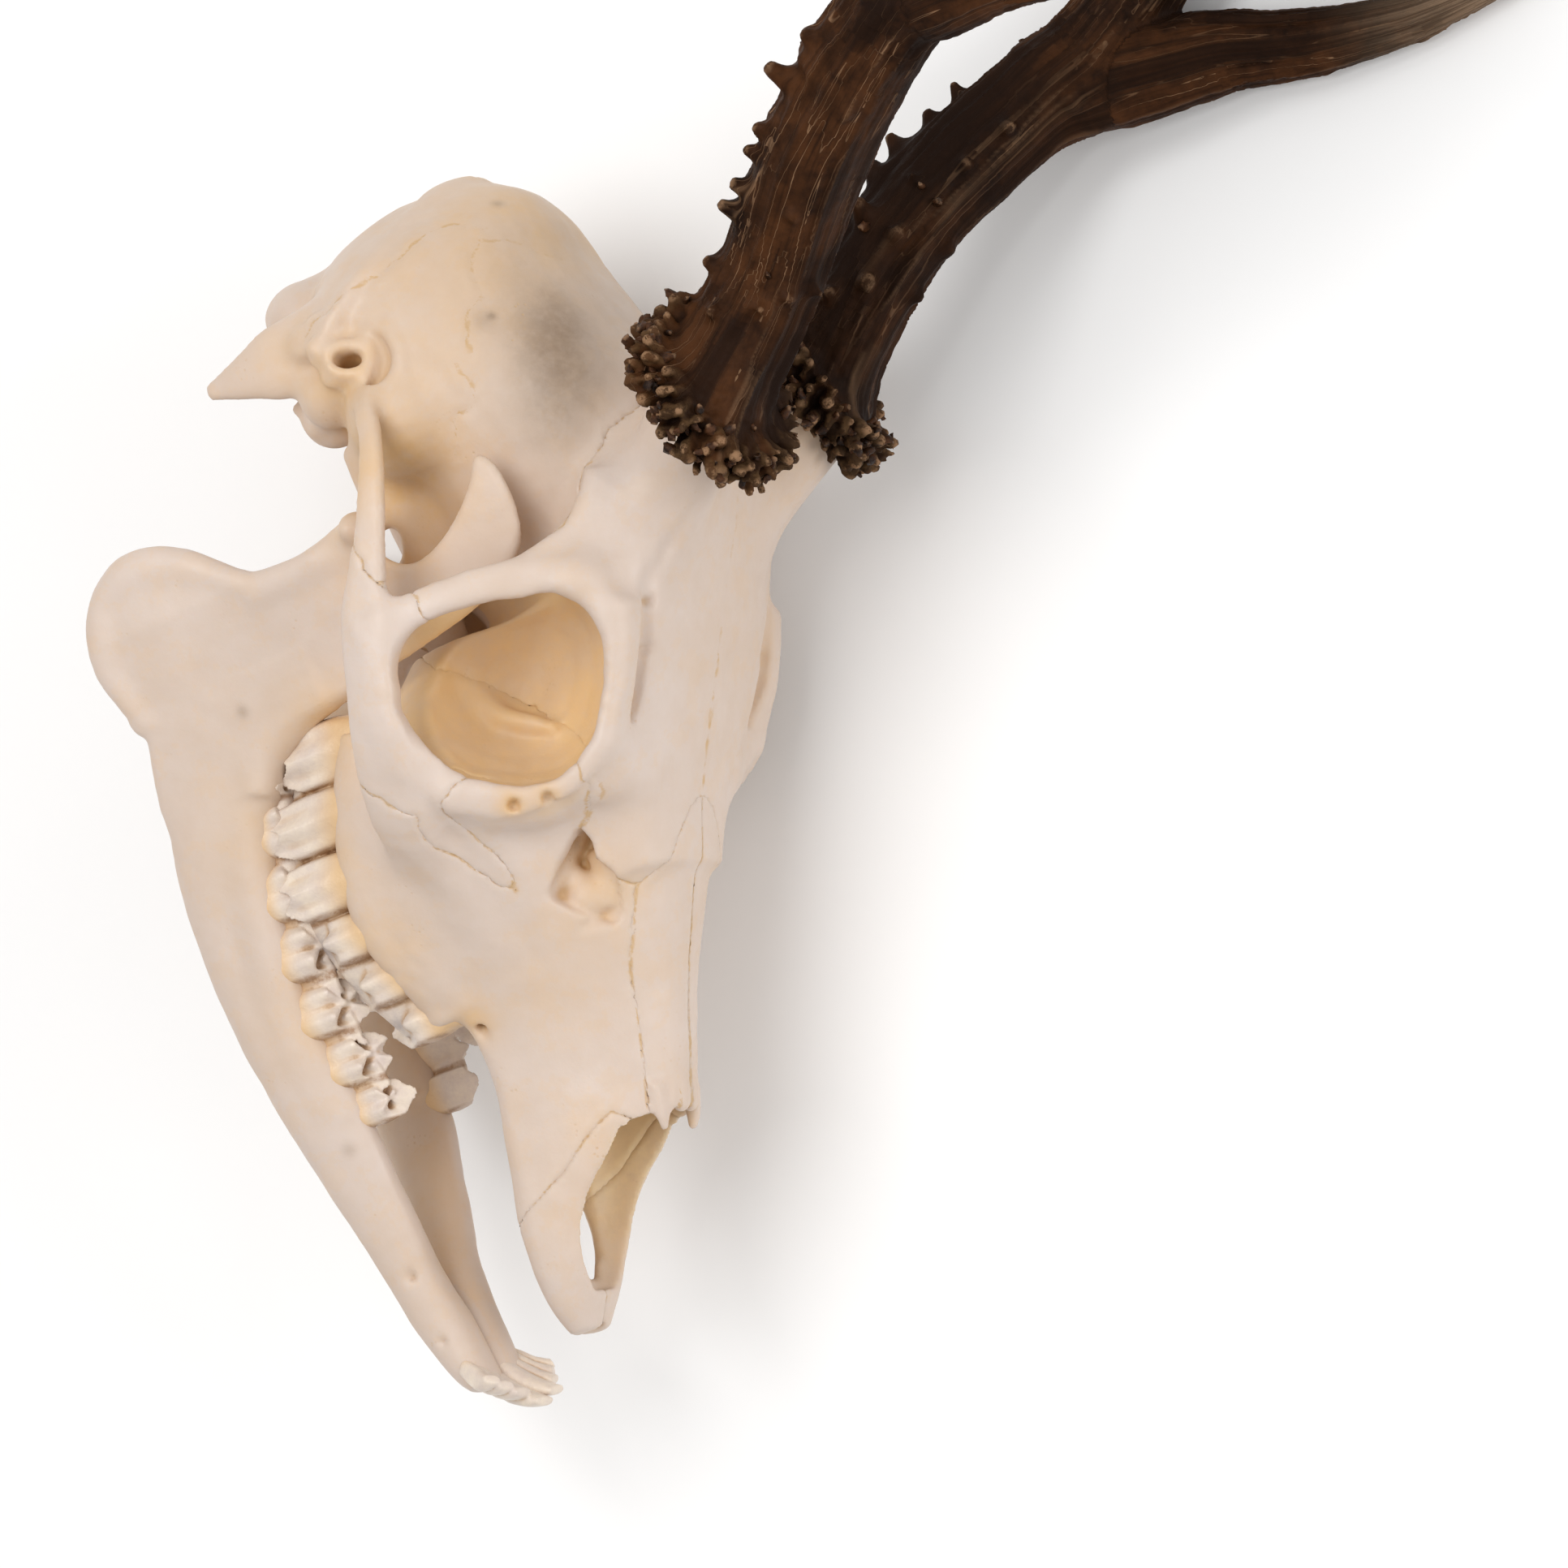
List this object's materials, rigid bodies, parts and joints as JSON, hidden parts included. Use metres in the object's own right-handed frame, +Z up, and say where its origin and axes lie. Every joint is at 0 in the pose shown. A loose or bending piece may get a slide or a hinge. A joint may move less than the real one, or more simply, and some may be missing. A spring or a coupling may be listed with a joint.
{
  "type": "roe deer skull with antlers",
  "caption": "Still, life-size deer skull lying on its side, long muzzle, deep eye sockets, opened lower jaw and a pair of rough, forked dark antlers.",
  "frame": {"origin": "centre of the bounding box's footprint, on the surface that the skull lies on", "axes": "+Z up; +Y from the nose towards the antler tips, the longest extent; +X from the lower jaw towards the forehead"},
  "size_m": [0.2486, 0.3208, 0.1133],
  "materials": {
    "bone": "dry cream bone",
    "antler": "rough dark brown antler"
  },
  "bodies": {
    "root": {"braincase": "bone", "forehead": "bone", "upper_jaw": "bone", "nasal_bones": "bone", "premaxilla_right": "bone", "premaxilla_left": "bone", "zygomatic_arch_right": "bone", "zygomatic_arch_left": "bone", "mandible_right": "bone", "mandible_left": "bone", "antler_right_beam": "antler", "antler_right_front_tine": "antler", "antler_right_upper_beam": "antler", "antler_right_rear_tine": "antler", "antler_left_beam": "antler", "antler_left_front_tine": "antler", "antler_left_upper_beam": "antler", "antler_left_rear_tine": "antler"}
  },
  "joints": []
}
